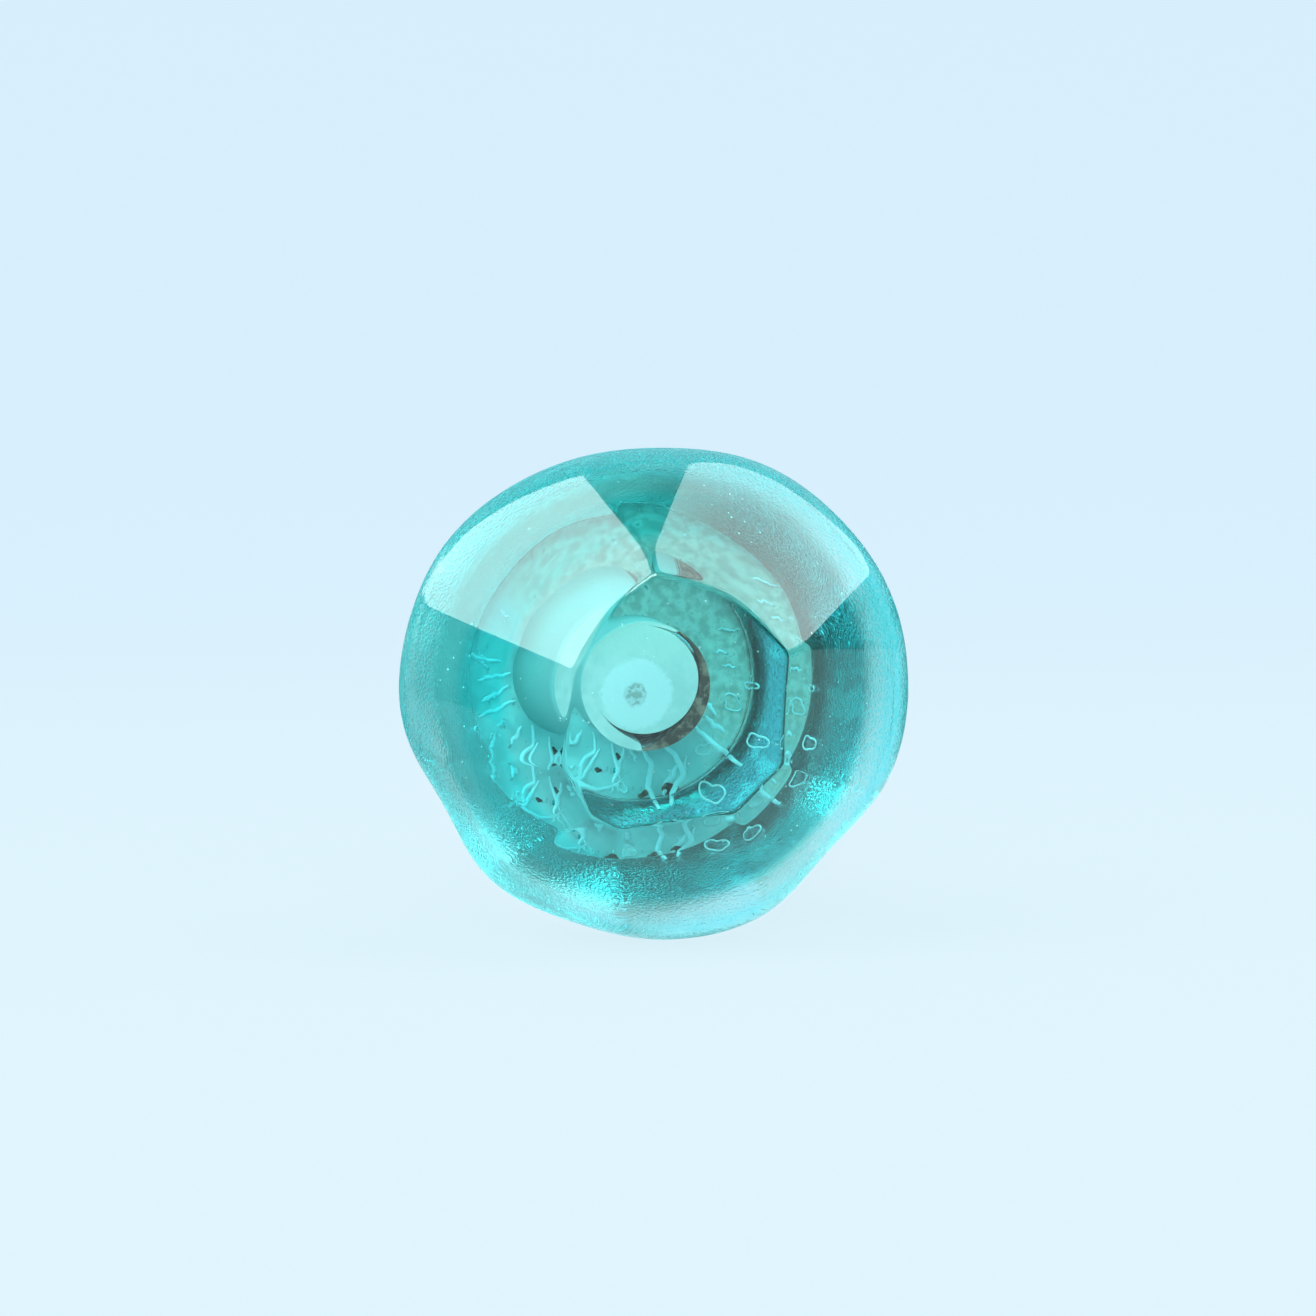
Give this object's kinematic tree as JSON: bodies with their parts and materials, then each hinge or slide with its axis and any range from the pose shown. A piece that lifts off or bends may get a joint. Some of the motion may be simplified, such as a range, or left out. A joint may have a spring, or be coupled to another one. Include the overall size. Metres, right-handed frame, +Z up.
{
  "type": "faceted glass cabinet knob",
  "caption": "Hand-ground teal glass cabinet knob with a flat table, sloping facets, a metal cup and turned foot, and a through screw with washers and a nut that runs on its thread.",
  "frame": {"origin": "centre of the foot's rear face, where the screw passes into the drawer front", "axes": "+Y along the screw towards its free end behind the drawer front, the glass faces -Y, +Z up and +X to the right as the knob is seen from the front"},
  "size_m": [0.0406, 0.0711, 0.0394],
  "materials": {
    "teal_glass": "clear teal glass, polished facets, fine grain on the moulded back",
    "pale_cement": "set cement",
    "clear_resin": "clear resin with cracks and bubbles",
    "zinc_steel": "zinc-plated thread",
    "plated_cup": "spun and nickel-plated",
    "plated_base": "turned and nickel-plated",
    "zinc_nut": "zinc-plated",
    "spring_steel": "phosphated spring steel"
  },
  "bodies": {
    "knob": {"glass_head": "teal_glass", "socket_cement": "pale_cement", "resin_bed": "clear_resin", "screw": "zinc_steel", "collar_cup": "plated_cup", "base_stem": "plated_base", "lock_nut": "zinc_nut"},
    "washer_stack": {"flat_washer": "zinc_nut", "spring_washer": "spring_steel"},
    "nut": {"fixing_nut": "zinc_nut"}
  },
  "joints": [
    {"name": "washer_slide", "type": "slide", "parent": "knob", "child": "washer_stack", "axis": [0, 1, 0], "range_m": [-0.0168, 0.014]},
    {"name": "nut_spin", "type": "hinge", "parent": "washer_stack", "child": "nut", "pos_m": [0, 0.0216, 0], "axis": [0, 1, 0], "range_deg": [-8640, 7200]}
  ],
  "couplings": [
    {"joint": "nut_spin", "follows": "washer_slide", "rad_per_m": 8976}
  ]
}
